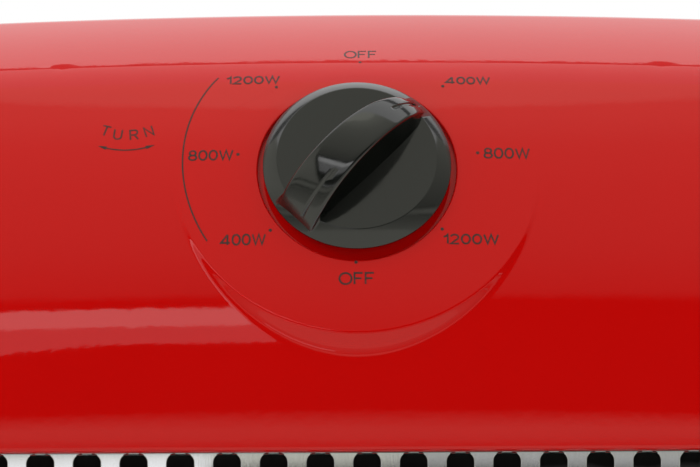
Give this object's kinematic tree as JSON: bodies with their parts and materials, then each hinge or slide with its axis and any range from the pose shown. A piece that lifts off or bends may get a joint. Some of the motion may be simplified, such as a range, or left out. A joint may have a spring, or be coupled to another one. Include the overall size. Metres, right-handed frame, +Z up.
{
  "type": "halogen heater",
  "caption": "Upright halogen heater head with a slotted guard over three lamps, a rotary power dial on a sloping top panel, and a swivel base.",
  "frame": {"origin": "on the floor under the axis that the head swings about, at the middle of the base", "axes": "+Z up, the guard and dial face -Y, +X to the right of someone who faces the heater"},
  "size_m": [0.296, 0.2, 0.5099],
  "materials": {
    "red_shell": "glossy moulded red plastic",
    "guard_steel": "pressed steel sheet with a fine brushed grain",
    "reflector_metal": "bright rolled sheet",
    "zinc_steel": "zinc-plated sheet steel, satin",
    "lamp_glass": "clear quartz tube",
    "coil_wire": "dark drawn heating wire",
    "cap_ceramic": "unglazed white ceramic",
    "screw_steel": "zinc-plated steel",
    "switch_plastic": "matte off-white moulding",
    "turned_steel": "machined steel, lightly oiled",
    "black_gloss": "polished black moulding",
    "black_base": "satin black moulding",
    "foot_rubber": "matte black rubber",
    "bearing_plastic": "self-lubricating natural plastic",
    "motor_case": "plain grey metal can",
    "bushing_rubber": "matte black rubber"
  },
  "bodies": {
    "base": {"base_cover": "black_base", "base_plate": "zinc_steel", "rubber_feet": "foot_rubber", "base_screws": "screw_steel", "bearing_bush": "bearing_plastic", "thrust_washer": "bearing_plastic", "swing_motor": "motor_case", "tip_guide": "switch_plastic", "tip_spring": "turned_steel", "tip_switch": "switch_plastic", "terminal_block": "switch_plastic", "cord_clamp": "switch_plastic", "cord_bushing": "bushing_rubber"},
    "head": {"front_housing": "red_shell", "rear_housing": "red_shell", "guard": "guard_steel", "reflector": "reflector_metal", "heat_shield": "zinc_steel", "end_bracket_left": "zinc_steel", "end_bracket_right": "zinc_steel", "lamp_tubes": "lamp_glass", "heating_coils": "coil_wire", "ceramic_caps": "cap_ceramic", "lamp_clips": "zinc_steel", "thermal_cutout": "zinc_steel", "housing_screws": "screw_steel", "rotary_switch": "switch_plastic", "head_floor": "zinc_steel", "swivel_tube": "turned_steel", "swing_lever": "turned_steel", "bearing_ring": "screw_steel"},
    "dial": {"knob": "black_gloss", "control_shaft": "turned_steel", "shaft_clip": "screw_steel"},
    "crank": {"crank_arm": "turned_steel", "crank_roller": "bearing_plastic"},
    "tip_rod": {"tip_plunger": "bearing_plastic"}
  },
  "joints": [
    {"name": "head_swivel", "type": "hinge", "parent": "base", "child": "head", "pos_m": [0, 0, 0.09], "axis": [0, 0, 1], "range_deg": [-35, 35]},
    {"name": "crank_turn", "type": "hinge", "parent": "base", "child": "crank", "pos_m": [0, -0.034, 0.032], "axis": [0, 0, 1], "range_deg": [-125.1, 125.1]},
    {"name": "dial_turn", "type": "hinge", "parent": "head", "child": "dial", "pos_m": [0, -0.04432, 0.471], "axis": [0, -0.866, 0.5], "continuous": true},
    {"name": "tip_slide", "type": "slide", "parent": "base", "child": "tip_rod", "axis": [0, 0, -1], "range_m": [0, 0.005], "stiffness_N_per_m": 60, "springref_m": 0.012, "deforming": ["tip_spring"]}
  ],
  "couplings": [
    {"joint": "crank_turn", "follows": "head_swivel", "ratio": 3.5714}
  ]
}
